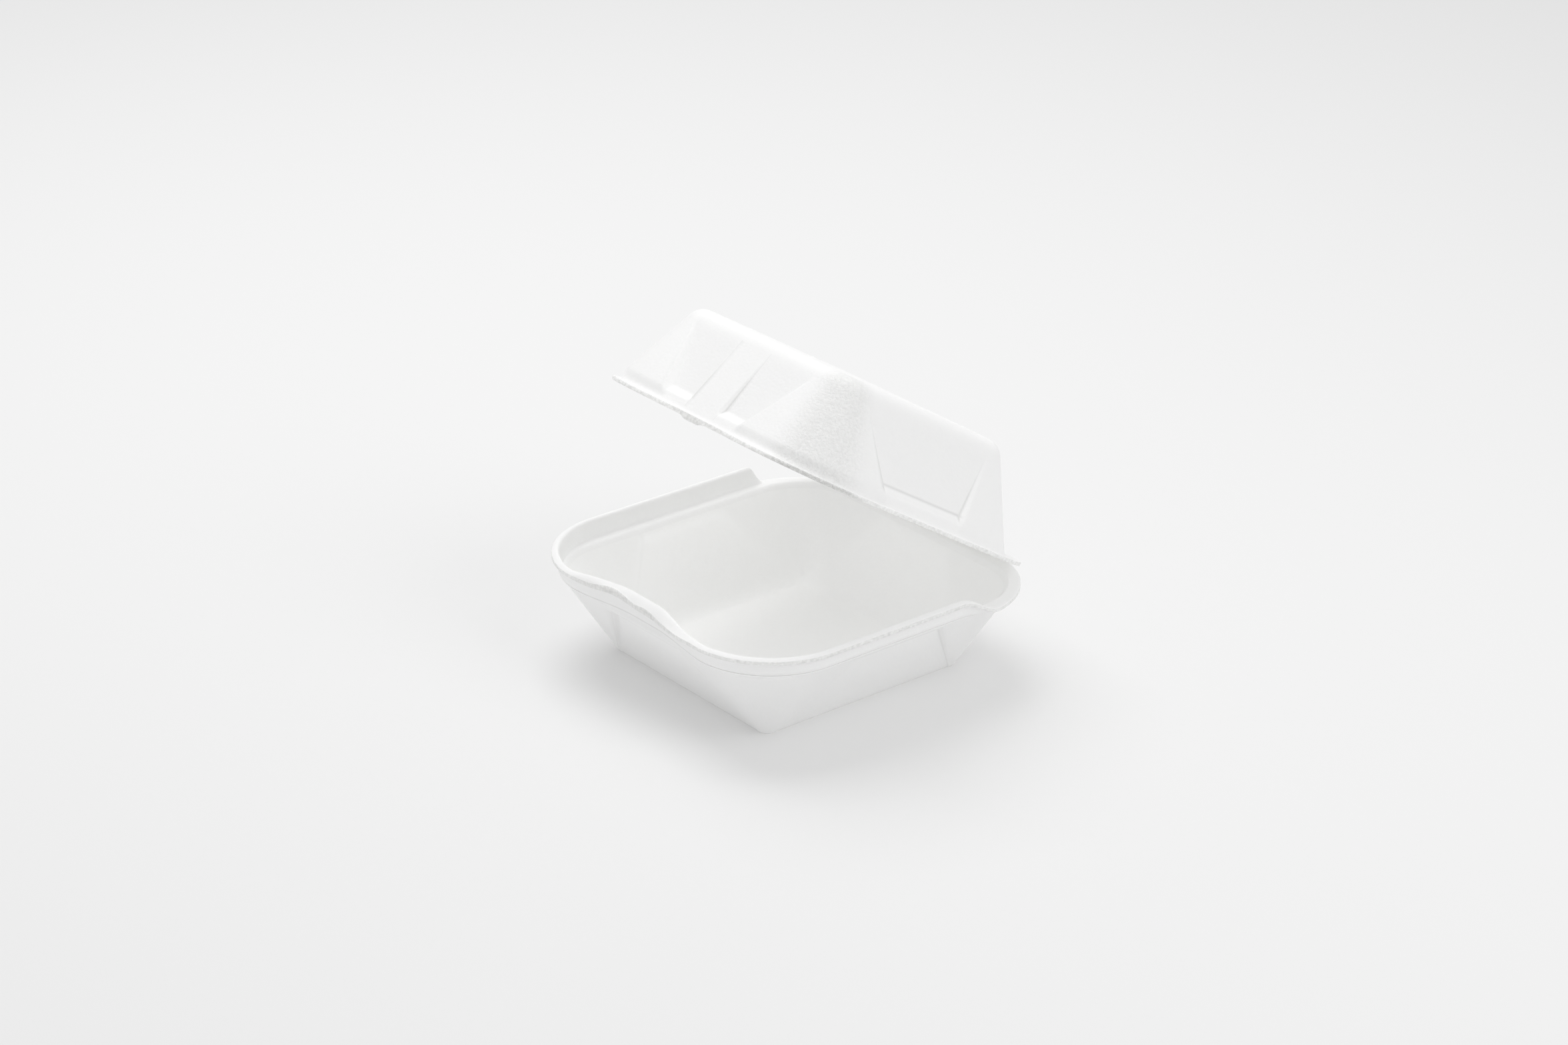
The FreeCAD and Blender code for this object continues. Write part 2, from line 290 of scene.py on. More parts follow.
def walk(side: np.ndarray, length: np.ndarray, half_x: np.ndarray, front: np.ndarray,
         back: np.ndarray, radius: np.ndarray) -> np.ndarray:
    """Points at given distances along rounded rectangles.

    Args:
        side: Side from whose first corner each distance is measured.
        length: Distance; below 0 or past the side it runs into a corner.
        half_x: Half width of each point's rectangle.
        front: Y of its front edge.
        back: Y of its back edge.
        radius: Its corner radius.

    Returns:
        Array of (x, y), one for each entry of side.
    """
    along, away = ALONG[side], AWAY[side]
    low = np.stack([-half_x + radius, front + radius], -1)
    high = np.stack([half_x - radius, back - radius], -1)
    start = np.where(np.isin(side, (0, 3))[:, None], low, high)
    start[side == 1] = np.stack([high[:, 0], low[:, 1]], -1)[side == 1]
    start[side == 3] = np.stack([low[:, 0], high[:, 1]], -1)[side == 3]
    straight = np.where(side % 2 == 0, high[:, 0] - low[:, 0], high[:, 1] - low[:, 1])
    run = np.clip(length, 0.0, straight)
    bend = (length - run) / radius
    return (start + along * run[:, None]
            + radius[:, None] * (away * np.cos(bend)[:, None] + along * np.sin(bend)[:, None]))


@dataclass
class Shell:
    """Points of one closed shell, row by row, and the mesh made from them."""

    name: str
    rows: list[np.ndarray] = field(default_factory=list)
    faces: list[Face] = field(default_factory=list)
    crease_shades: list[np.ndarray] = field(default_factory=list)
    crinkle_shade_axis: tuple[Triple, ...] = ()
    reach: tuple[float, float] = (26.0, 15.0)
    steepness: float = 1.5

    def stretch(self, point: Triple) -> float:
        """How far the foam is drawn and crinkled at a point, from 0 to 1; the same value darkens
        the colour there as painted shade.
        """
        if not self.crinkle_shade_axis:
            return 0.0
        start, end = (np.array(p) for p in self.crinkle_shade_axis)
        axis = end - start
        t = min(max(float((np.array(point) - start) @ axis / (axis @ axis)), 0.0), 1.0)
        reach = self.reach[0] + (self.reach[1] - self.reach[0]) * t
        return float(ease(self.steepness * (1.0 - math.dist(point, start + t * axis) / reach)))

    def add(self, points: np.ndarray, face: Face, fold: np.ndarray | float = 0.0) -> None:
        """Adds a row of points.

        Args:
            points: Array of (x, y, z).
            face: Surface on which the row lies.
            fold: How strongly painted shade darkens each point along a crease, from 0 to 1.
        """
        self.rows.append(points)
        self.faces.append(face)
        self.crease_shades.append(fold * np.ones(len(points)))

    def fan(self, edge: np.ndarray, shares: tuple[float, ...], face: Face) -> None:
        """Adds rows shrunk about the middle of a flat row.

        Args:
            edge: Points of the flat row.
            shares: Sizes of the new rows, as parts of the row's own.
            face: Surface on which they lie.
        """
        middle = edge.mean(axis=0)
        for share in shares:
            self.add(middle + (edge - middle) * share, face)

    def mesh(self, finishes: list[bpy.types.Material],
             extras: tuple["Solid", ...] = ()) -> bpy.types.Object:
        """Makes the mesh object, closed at both ends by a fan.

        Args:
            finishes: Materials of the pressed skin, the cut edge and the inside.
            extras: Small closed solids that belong to the same piece.

        Returns:
            The object, linked to the scene, in metres.
        """
        grid = np.array(self.rows)
        count, across = grid.shape[:2]
        points = [tuple(p) for p in grid.reshape(-1, 3)]
        quads, marks = [], []
        for i in range(count - 1):
            same = self.faces[i] is self.faces[i + 1]
            mark = self.faces[i].value if same else Face.OUTER.value
            for j in range(across):
                k = (j + 1) % across
                quads.append((i * across + j, (i + 1) * across + j,
                              (i + 1) * across + k, i * across + k))
                marks.append(mark)
        for row, flip in ((0, False), (count - 1, True)):
            middle = len(points)
            points.append(tuple(grid[row].mean(axis=0)))
            for j in range(across):
                k = (j + 1) % across
                a, b = row * across + j, row * across + k
                quads.append((middle, b, a) if flip else (middle, a, b))
                marks.append(self.faces[row].value)
        for extra in extras:
            first = len(points)
            points += [tuple(p) for p in extra.points]
            quads += [tuple(first + v for v in f) for f in extra.faces]
            marks += [Face.OUTER.value] * len(extra.faces)
        mesh = bpy.data.meshes.new(self.name)
        mesh.from_pydata([(x * MM, y * MM, z * MM) for x, y, z in points], [], quads)
        mesh.polygons.foreach_set("material_index", marks)
        mesh.polygons.foreach_set("use_smooth", [True] * len(quads))
        # Per-point painted shade along the creases, read by the colour.
        crease_shades = np.zeros(len(points))
        crease_shades[:grid.shape[0] * across] = np.concatenate(self.crease_shades)
        crease = mesh.attributes.new(CREASE_SHADE_MASK, "FLOAT", "POINT")
        crease.data.foreach_set("value", crease_shades)
        # Crinkle mask, which also darkens the colour as painted shade.
        stretch = mesh.attributes.new(CRINKLE_SHADE_MASK, "FLOAT", "POINT")
        stretch.data.foreach_set("value", [self.stretch(p) for p in points])
        mesh.update()
        mesh.validate()
        mesh.set_sharp_from_angle(angle=SHELL_SHARP)
        for finish in finishes:
            mesh.materials.append(finish)
        made = bpy.data.objects.new(self.name, mesh)
        bpy.context.scene.collection.objects.link(made)
        return made


@dataclass
class Solid:
    """A small closed solid: a section carried through several stations."""

    points: list[Triple]
    faces: list[tuple[int, ...]]

    @staticmethod
    def swept(stations: list[list[Triple]]) -> "Solid":
        """Joins equal sections one after another and closes both ends.

        Args:
            stations: Sections of the same number of points.

        Returns:
            The closed solid.
        """
        n = len(stations[0])
        points = [p for s in stations for p in s]
        faces = [(i * n + j, i * n + (j + 1) % n, (i + 1) * n + (j + 1) % n, (i + 1) * n + j)
                 for i in range(len(stations) - 1) for j in range(n)]
        last = (len(stations) - 1) * n
        faces.append(tuple(range(n - 1, -1, -1)))
        faces.append(tuple(last + j for j in range(n)))
        return Solid(points, faces)


@dataclass(frozen=True)
class Grain:
    """Node group of the foam's skin: beads, slow changes of tone, painted shade along the
    creases, and crinkles that are both bumped and darkened with painted shade.

    Each noise is given by its scale, detail and distortion.
    """

    name: str = "Foam grain and painted shade"
    settings: tuple[str, ...] = ("Bead scale", "Bead depth", "Bead tone", "Tone")
    smoothness: float = 0.6
    swell: Triple = (160.0, 4.0, 0.0)
    slow: Triple = (38.0, 2.0, 0.0)
    pebble: Triple = (900.0, 2.0, 0.6)
    crinkle_height: float = 4.0
    slow_range: tuple[float, float] = (0.3, 0.7)
    roughness: tuple[float, float] = (0.46, 0.62)

    @staticmethod
    def put(tree: bpy.types.NodeTree, operation: str,
            *values: bpy.types.NodeSocket | float) -> bpy.types.NodeSocket:
        """Adds a math node.

        Args:
            tree: The group's tree.
            operation: The node's operation.
            values: For each input the socket that feeds it, or its number.

        Returns:
            The node's output.
        """
        node = tree.nodes.new("ShaderNodeMath")
        node.operation = operation
        for socket, value in zip(node.inputs, values):
            if isinstance(value, bpy.types.NodeSocket):
                tree.links.new(value, socket)
            else:
                socket.default_value = value
        return node.outputs[0]

    @staticmethod
    def mask(tree: bpy.types.NodeTree, name: str) -> bpy.types.NodeSocket:
        """Adds a node that reads a mask of the mesh, and returns its value."""
        node = tree.nodes.new("ShaderNodeAttribute")
        node.attribute_name = name
        return node.outputs["Fac"]

    @staticmethod
    def noise(tree: bpy.types.NodeTree, where: bpy.types.NodeSocket,
              kind: Triple) -> bpy.types.NodeSocket:
        """Adds a noise laid out in some coordinates, and returns its value."""
        node = tree.nodes.new("ShaderNodeTexNoise")
        tree.links.new(where, node.inputs["Vector"])
        for label, value in zip(("Scale", "Detail", "Distortion"), kind):
            node.inputs[label].default_value = value
        return node.outputs["Fac"]

    def sockets(self, tree: bpy.types.NodeTree) -> None:
        """Names the group's inputs and outputs."""
        face = tree.interface
        for label in self.settings:
            face.new_socket(label, in_out="INPUT", socket_type="NodeSocketFloat")
        for label in ("Light", "Dark"):
            face.new_socket(label, in_out="INPUT", socket_type="NodeSocketColor")
        face.new_socket("Color", in_out="OUTPUT", socket_type="NodeSocketColor")
        for label in ("Height", "Roughness"):
            face.new_socket(label, in_out="OUTPUT", socket_type="NodeSocketFloat")

    def group(self) -> bpy.types.NodeTree:
        """Builds the group and returns it."""
        tree = bpy.data.node_groups.new(self.name, "ShaderNodeTree")
        self.sockets(tree)
        nodes, links = tree.nodes, tree.links
        given = nodes.new("NodeGroupInput").outputs
        out = nodes.new("NodeGroupOutput").inputs
        where = nodes.new("ShaderNodeTexCoord").outputs["Object"]

        beads = nodes.new("ShaderNodeTexVoronoi")
        beads.feature = "SMOOTH_F1"
        beads.inputs["Smoothness"].default_value = self.smoothness
        links.new(where, beads.inputs["Vector"])
        links.new(given["Bead scale"], beads.inputs["Scale"])
        bead = beads.outputs["Distance"]
        slow = self.noise(tree, where, self.slow)
        crinkle_and_shade = self.put(tree, "MULTIPLY", self.noise(tree, where, self.pebble),
                           self.mask(tree, CRINKLE_SHADE_MASK))

        beaded = self.put(tree, "MULTIPLY", bead, given["Bead depth"])
        height = self.put(tree, "SUBTRACT", self.noise(tree, where, self.swell), beaded)
        raised = self.put(tree, "MULTIPLY_ADD", crinkle_and_shade, self.crinkle_height, height)
        links.new(raised, out["Height"])

        tone = self.put(tree, "MULTIPLY", slow, given["Tone"])
        mottle = self.put(tree, "MULTIPLY_ADD", bead, given["Bead tone"], tone)
        # Painted shade: the crinkle mask darkens the colour at the lid's near corner, on top of
        # the random tone.
        drawn = self.put(tree, "ADD", crinkle_and_shade, mottle)
        # Painted shade: the crease mask darkens the colour along creases and panel edges.
        crease_shaded = self.put(tree, "ADD", self.mask(tree, CREASE_SHADE_MASK), drawn)
        crease_shaded.node.use_clamp = True
        mix = nodes.new("ShaderNodeMix")
        mix.data_type = "RGBA"
        links.new(crease_shaded, mix.inputs["Factor"])
        links.new(given["Light"], mix.inputs["A"])
        links.new(given["Dark"], mix.inputs["B"])
        links.new(mix.outputs["Result"], out["Color"])

        rough = nodes.new("ShaderNodeMapRange")
        for label, value in zip(("From Min", "From Max", "To Min", "To Max"),
                                (*self.slow_range, *self.roughness)):
            rough.inputs[label].default_value = value
        links.new(slow, rough.inputs["Value"])
        links.new(rough.outputs["Result"], out["Roughness"])
        return tree


@dataclass(frozen=True)
class FoamFinish:
    """White expanded foam, smooth from the press or rough where it was cut.

    The bead scale counts beads to the metre. The bump's height and the depth that
    light reaches are in metres.
    """

    name: str
    light: Triple
    # Dark colour for random tone and bead mottle, and for the painted shade in creases and at the
    # crinkled corner.
    dark: Triple
    bead_scale: float
    bead_depth: float
    bead_tone: float
    tone: float
    bump: float
    bump_height: float
    depth: float
    scatter: float
    gloss: float = 0.3

    def material(self, grain: bpy.types.NodeTree) -> bpy.types.Material:
        """Makes the material.

        Args:
            grain: The shared group of the foam's beads.

        Returns:
            The material, ready to be put on a mesh.
        """
        made = bpy.data.materials.new(self.name)
        made.use_nodes = True
        nodes, links = made.node_tree.nodes, made.node_tree.links
        shader = nodes["Principled BSDF"].inputs
        skin = nodes.new("ShaderNodeGroup")
        skin.node_tree = grain
        for label, value in (("Bead scale", self.bead_scale), ("Bead depth", self.bead_depth),
                             ("Bead tone", self.bead_tone), ("Tone", self.tone),
                             ("Light", (*self.light, 1.0)), ("Dark", (*self.dark, 1.0))):
            skin.inputs[label].default_value = value
        bump = nodes.new("ShaderNodeBump")
        bump.inputs["Strength"].default_value = self.bump
        bump.inputs["Distance"].default_value = self.bump_height
        links.new(skin.outputs["Height"], bump.inputs["Height"])
        links.new(skin.outputs["Color"], shader["Base Color"])
        links.new(skin.outputs["Roughness"], shader["Roughness"])
        links.new(bump.outputs["Normal"], shader["Normal"])
        shader["Subsurface Weight"].default_value = self.scatter
        shader["Subsurface Radius"].default_value = (1.0, 1.0, 1.0)
        shader["Subsurface Scale"].default_value = self.depth
        shader["Specular IOR Level"].default_value = self.gloss
        return made


FINISHES = (
    FoamFinish("Foam skin", light=(0.985, 0.985, 0.98), dark=(0.80, 0.80, 0.795),
               bead_scale=1000.0, bead_depth=0.6, bead_tone=0.0, tone=0.12,
               bump=0.4, bump_height=0.0003, depth=0.0008, scatter=0.6),
    FoamFinish("Foam cut edge", light=(0.95, 0.95, 0.94), dark=(0.68, 0.68, 0.67),
               bead_scale=760.0, bead_depth=1.5, bead_tone=0.7, tone=0.2,
               bump=0.8, bump_height=0.0006, depth=0.002, scatter=0.95),
    # The inside is the same foam as the skin; its lighter colours are painted light for the light
    # that passes through the sheet and bounces inside.
    FoamFinish("Foam inside, painted lighter", light=(1.0, 1.0, 0.995), dark=(0.9, 0.9, 0.895),
               bead_scale=1000.0, bead_depth=0.6, bead_tone=0.0, tone=0.1,
               bump=0.3, bump_height=0.0003, depth=0.001, scatter=0.35),
)


@dataclass
class Tray:
    """The base: walls with pressed panels, ledge, raised lip, catch and back brim."""

    foot_x: float = 47.25
    foot_y: float = 47.6
    foot_r: float = 4.0
    wall_top_z: float = 34.0
    wall_top_inset: float = 5.0
    wall_top_r: float = 27.0
    rim_x: float = 75.0
    rim_y: float = 74.3
    rim_r: float = 37.0
    sheet: float = 2.0
    ledge_z: float = 35.2
    mouth_inset: float = 7.1
    floor_inset: float = 2.25
    panel_foot: float = 43.0
    panel_top: float = 20.5
    panel_z: float = 31.0
    panel_depth: tuple[float, float] = (0.33, 2.6)
    lock_x: float = 1.0
    catch_flat: float = 6.0
    catch_half: float = 42.0
    cut_rows: tuple[int, int] = (13, 15)
    cut_waves: tuple[tuple[float, float, float, float], ...] = (
        (-15.0, 16.0, 1.4, 3.0), (20.0, 18.0, -1.4, -1.1), (4.0, 9.0, 0.0, 1.2))
    crest_rows: tuple[int, int] = (18, 22)
    crest_waves: tuple[Triple, ...] = ((22.0, 16.0, -1.1), (-30.0, 15.0, 1.0))
    wave_fades: tuple[float, float] = (6.0, 3.0)
    # Row of the rim whose points get a full painted shade line at the lip's foot.
    lip_foot_shade_row: int = 6
    back_edge: float = 73.05
    lip_end: tuple[float, float] = (25.0, 44.5)
    left_end: tuple[float, float] = (39.5, 46.0)
    panel_ledge: float = 0.9
    inner_rise: float = 1.3
    inner_turn: tuple[float, float] = (1.0, 2.0)
    inner_relief: float = 0.14
    inner_fade: float = 3.0
    inner_crease: float = 5.0
    # Strengths of painted shade lines drawn into the colour along the panel edges, the panels'
    # top ledge and the inner panel edges.
    edge_crease_shade: float = 0.5
    ledge_shade: float = 0.8
    ledge_shade_half: float = 0.4
    inner_crease_shade: float = 0.3
    inner_crease_shade_z: tuple[float, float] = (13.0, 21.0)
    floor_curve: tuple[float, float] = (6.5, 4.0)
    outer_rows: tuple[Stretch, ...] = (
        (0.0, 29.6, 21), (29.6, 30.8, 4), (30.8, 32.2, 10), (32.2, 33.5, 3))
    inner_rows: tuple[Stretch, ...] = ((33.1, 27.8, 14), (27.8, 6.5, 15))
    girth: Girth = field(default_factory=lambda: Girth(end_cells=14))

    def wall(self, z: float, inner: bool = False) -> Ring:
        """Row of the leaning wall at a height.

        Args:
            z: Height.
            inner: Whether it is on the inside of the sheet.

        Returns:
            The row, with its panel's depth and width.
        """
        if inner:
            t = (z - self.sheet) / (self.ledge_z - self.sheet)
            low, top = self.floor_inset, self.mouth_inset
            turn_low, turn_top = self.inner_turn
            top_z = self.panel_z + self.inner_rise
        else:
            t = z / self.wall_top_z
            low, top = 0.0, self.wall_top_inset
            turn_low = turn_top = 0.0
            top_z = self.panel_z
        depth = (self.panel_depth[0]
                 + (self.panel_depth[1] - self.panel_depth[0]) * z / self.panel_z)
        depth *= 1.0 - float(ease((z - top_z) / self.panel_ledge))
        if inner:
            fade = float(ease((z - top_z + self.inner_fade) / self.inner_fade))
            depth *= self.inner_relief * (1.0 - fade)
        spread_half = self.panel_foot + (self.panel_top - self.panel_foot) * z / self.panel_z
        half = max(spread_half, self.panel_top)
        mix = [a + (b - a) * t for a, b in (
            (self.foot_x - low, self.rim_x - top), (self.foot_y - low, self.rim_y - top),
            (self.foot_r - turn_low, self.wall_top_r - turn_top))]
        face = Face.INNER if inner else Face.OUTER
        return Ring(mix[0], -mix[1], mix[1], mix[2], z, face, depth, half)

    def rim_profile(self) -> list[tuple[tuple[float, ...], tuple[float, ...], tuple[float, ...]]]:
        """Rows over the rim, from the outer wall's top to the inner wall's.

        Returns:
            For each row the (inset, z, radius) of the plain lip, and the
            (inset, z) of the catch and of the back brim.
        """
        return [
            ((5.3, 33.5, 26.8), (5.6, 33.5), (5.3, 33.5)),
            ((4.8, 33.8, 28.5), (5.7, 34.0), (4.9, 33.6)),
            ((4.0, 34.0, 31.5), (5.8, 34.4), (4.4, 33.62)),
            ((3.4, 34.3, 33.4), (5.85, 34.8), (3.9, 33.62)),
            ((2.9, 34.8, 34.1), (5.85, 35.2), (3.4, 33.62)),
            ((2.65, 35.2, 34.4), (5.8, 35.6), (2.9, 33.62)),
            ((2.9, 35.4, 34.2), (5.65, 36.0), (2.5, 33.62)),
            ((2.5, 35.7, 34.5), (5.4, 36.7), (2.1, 33.62)),
            ((2.1, 37.2, 34.9), (4.9, 38.0), (1.7, 33.62)),
            ((1.7, 39.0, 35.3), (4.3, 39.3), (1.2, 33.62)),
            ((1.3, 40.3, 35.7), (3.8, 40.3), (0.8, 33.64)),
            ((0.75, 40.75, 36.3), (3.4, 40.8), (0.4, 33.7)),
            ((0.12, 40.95, 36.9), (3.1, 41.1), (0.12, 33.8)),
            ((0.0, 41.1, 37.0), (3.0, 41.3), (0.0, 33.95)),
            ((0.0, 41.6, 37.0), (3.0, 41.85), (0.0, 34.4)),
            ((0.0, 42.15, 37.0), (3.0, 42.45), (0.0, 34.85)),
            ((0.15, 42.35, 36.9), (3.15, 42.7), (0.12, 35.03)),
            ((0.8, 42.7, 36.2), (3.9, 43.45), (0.5, 35.17)),
            ((1.6, 43.0, 35.4), (4.9, 44.3), (1.0, 35.2)),
            ((2.2, 43.1, 34.8), (6.0, 45.0), (1.5, 35.2)),
            ((2.7, 42.85, 34.3), (6.9, 45.2), (2.0, 35.2)),
            ((3.05, 42.2, 34.0), (7.6, 44.8), (2.5, 35.2)),
            ((3.2, 41.3, 33.8), (7.95, 43.8), (2.9, 35.2)),
            ((3.3, 39.3, 33.7), (8.0, 41.0), (3.3, 35.2)),
            ((3.45, 37.0, 33.6), (7.95, 38.0), (3.5, 35.2)),
            ((3.65, 35.8, 33.4), (7.95, 36.5), (3.7, 35.2)),
            ((4.1, 35.3, 32.6), (7.95, 35.7), (4.1, 35.2)),
            ((5.2, 35.2, 30.0), (7.95, 35.2), (5.2, 35.2)),
            ((6.3, 35.17, 27.0), (8.0, 34.8), (6.3, 35.17)),
            ((7.0, 34.95, 25.3), (8.1, 34.4), (7.0, 34.95)),
            ((7.55, 34.4, 24.6), (8.3, 33.9), (7.55, 34.4)),
            ((8.3, 33.45, 24.0), (8.6, 33.35), (8.3, 33.45)),
        ]

    def rim_row(self, index: int, plain: tuple[float, ...], catch: tuple[float, ...],
                brim: tuple[float, ...]) -> np.ndarray:
        """Points of one row over the rim.

        Args:
            index: The row's number in the rim's profile.
            plain: Inset, height and radius on the plain lip.
            catch: Inset and height on the catch.
            brim: Inset and height on the back brim.

        Returns:
            Array of (x, y, z) for all columns.
        """
        g = self.girth
        straight = np.where(g.side % 2 == 0, self.rim_x, self.rim_y) - self.rim_r
        reach = straight + (self.rim_r - plain[0] - plain[2])
        along = g.along(reach, self.panel_top, (0.0,) * 4, self.lock_x, g.panel_crease)
        off = self.from_lock(along, reach, plain[2])
        run = (np.abs(off) - self.catch_flat) / (self.catch_half - self.catch_flat)
        caught = hump(np.maximum(run, 0.0))
        place = self.walked(along + reach, plain[0], plain[2])
        start = np.where(place[:, 0] > 0, self.lip_end[0], self.left_end[0])
        end = np.where(place[:, 0] > 0, self.lip_end[1], self.left_end[1])
        behind = ease((place[:, 1] - start) / (end - start))
        inset = (plain[0] + (catch[0] - plain[0]) * caught) * (1.0 - behind) + brim[0] * behind
        z = (plain[1] + (catch[1] - plain[1]) * caught) * (1.0 - behind) + brim[1] * behind
        z += self.cut_wave(off, index)
        flat = self.walked(along + reach, inset, plain[2] + plain[0] - inset)
        flat[:, 1] = np.minimum(flat[:, 1], np.where(behind > 0, self.back_edge, np.inf))
        return np.column_stack([flat, z])

    def walked(self, length: np.ndarray, inset: np.ndarray | float,
               radius: np.ndarray | float) -> np.ndarray:
        """Points round the rim's outline, set in by a distance."""
        g = self.girth
        one = np.ones(g.count)
        half_x, half_y = (self.rim_x - inset) * one, (self.rim_y - inset) * one
        turned = length + g.turn * radius * math.pi / 2
        return walk(g.side, turned, half_x, -half_y, half_y, radius * one)

    def from_lock(self, along: np.ndarray, reach: np.ndarray, radius: float) -> np.ndarray:
        """Distance of each column from the lock's middle, along the front and its corners."""
        g = self.girth
        quarter = radius * math.pi / 2
        off = np.full(g.count, 2.0 * self.catch_half)
        front = g.side == 0
        off[front] = (along + g.turn * quarter - self.lock_x)[front]
        last = (g.side == 3) & (g.turn > 0)
        off[last] = (-reach[front][0] - (1.0 - g.turn) * quarter - self.lock_x)[last]
        return off

    def cut_wave(self, off: np.ndarray, index: int) -> np.ndarray:
        """Rise and fall of the trimmed edge and of the crest along the catch.

        Args:
            off: Distance of each column from the lock's middle.
            index: The row's number in the rim's profile.

        Returns:
            Rise of each column; rows next to the trimmed edge follow it in part.
        """
        first, last = self.cut_rows
        cut_fade, crest_fade = self.wave_fades
        upper = min(max((index - first) / (last - first), 0.0), 1.0)
        wave = np.zeros(len(off))
        for middle, half, low, high in self.cut_waves:
            wave += (low + (high - low) * upper) * hump((off - middle) / half)
        wave *= nearness(index, self.cut_rows, cut_fade)
        for middle, half, high in self.crest_waves:
            share = nearness(index, self.crest_rows, crest_fade)
            wave += share * high * hump((off - middle) / half)
        return wave

    def wall_row(self, ring: Ring) -> np.ndarray:
        """Points of one row of the walls or the floor."""
        g = self.girth
        straight = np.where(g.side % 2 == 0, ring.half_x, ring.back) - ring.radius
        crease = self.inner_crease if ring.face is Face.INNER else g.panel_crease
        along = g.along(straight, ring.panel_half, (0.0,) * 4, 0.0, crease)
        flat = g.outline(ring, along + straight)
        flat -= AWAY[g.side] * (ring.panel * g.in_panel())[:, None]
        return np.column_stack([flat, np.full(g.count, ring.z)])

    def shell(self) -> Shell:
        """All rows of the base, from under its foot round to its floor."""
        shell = Shell("base_foam")
        foot = self.wall(0.0)
        shell.fan(self.wall_row(foot), FAN_OUT, Face.OUTER)
        g = self.girth
        outer_ends = np.isin(g.side, (0, 3)) == (g.place < 0)
        inner_ends = (g.side % 2 == 1) & (g.place > 0)
        for z in stepped(self.outer_rows):
            # Painted shade on the panels' outer edges below their top, and a painted shade line
            # along the ledge above them.
            share = self.edge_crease_shade if z < self.panel_z else 0.0
            ledge = max(0.0, 1.0 - abs(z - self.panel_z - self.panel_ledge) / self.ledge_shade_half)
            ledge = self.ledge_shade * ledge * g.in_panel()
            shell.add(self.wall_row(self.wall(z)), Face.OUTER,
                      np.maximum(share * g.on_panel_edge() * outer_ends, ledge))
        first, last = self.cut_rows
        for i, profile in enumerate(self.rim_profile()):
            face = Face.CUT if first - 1 <= i <= last + 1 else Face.OUTER
            # The row at the lip's foot is drawn as a full painted shade line.
            shell.add(self.rim_row(i, *profile), face, float(i == self.lip_foot_shade_row))
        low_z, high_z = self.inner_crease_shade_z
        for z in stepped(self.inner_rows):
            # Painted shade on the inner panel edges, fading in with height.
            share = self.inner_crease_shade * float(ease((z - low_z) / (high_z - low_z)))
            shell.add(self.wall_row(self.wall(z, True)), Face.INNER,
                      share * g.on_panel_edge() * inner_ends)
        floor = self.wall(self.sheet, True)
        start_z, over = self.floor_curve
        inner = floor.inset(over, self.sheet)
        for ring in bent(self.wall(start_z, True), floor, inner, count=8):
            shell.add(self.wall_row(ring), Face.INNER)
        shell.fan(self.wall_row(inner), FAN_IN, Face.INNER)
        return shell

    def build(self, finishes: list[bpy.types.Material]) -> None:
        """Makes the base's piece, which rides on its body and stands for the CAD node."""
        piece = self.shell().mesh(finishes)
        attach(piece, "base")
        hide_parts("base")
        LOG.info("%s: %d faces", piece.name, len(piece.data.polygons))


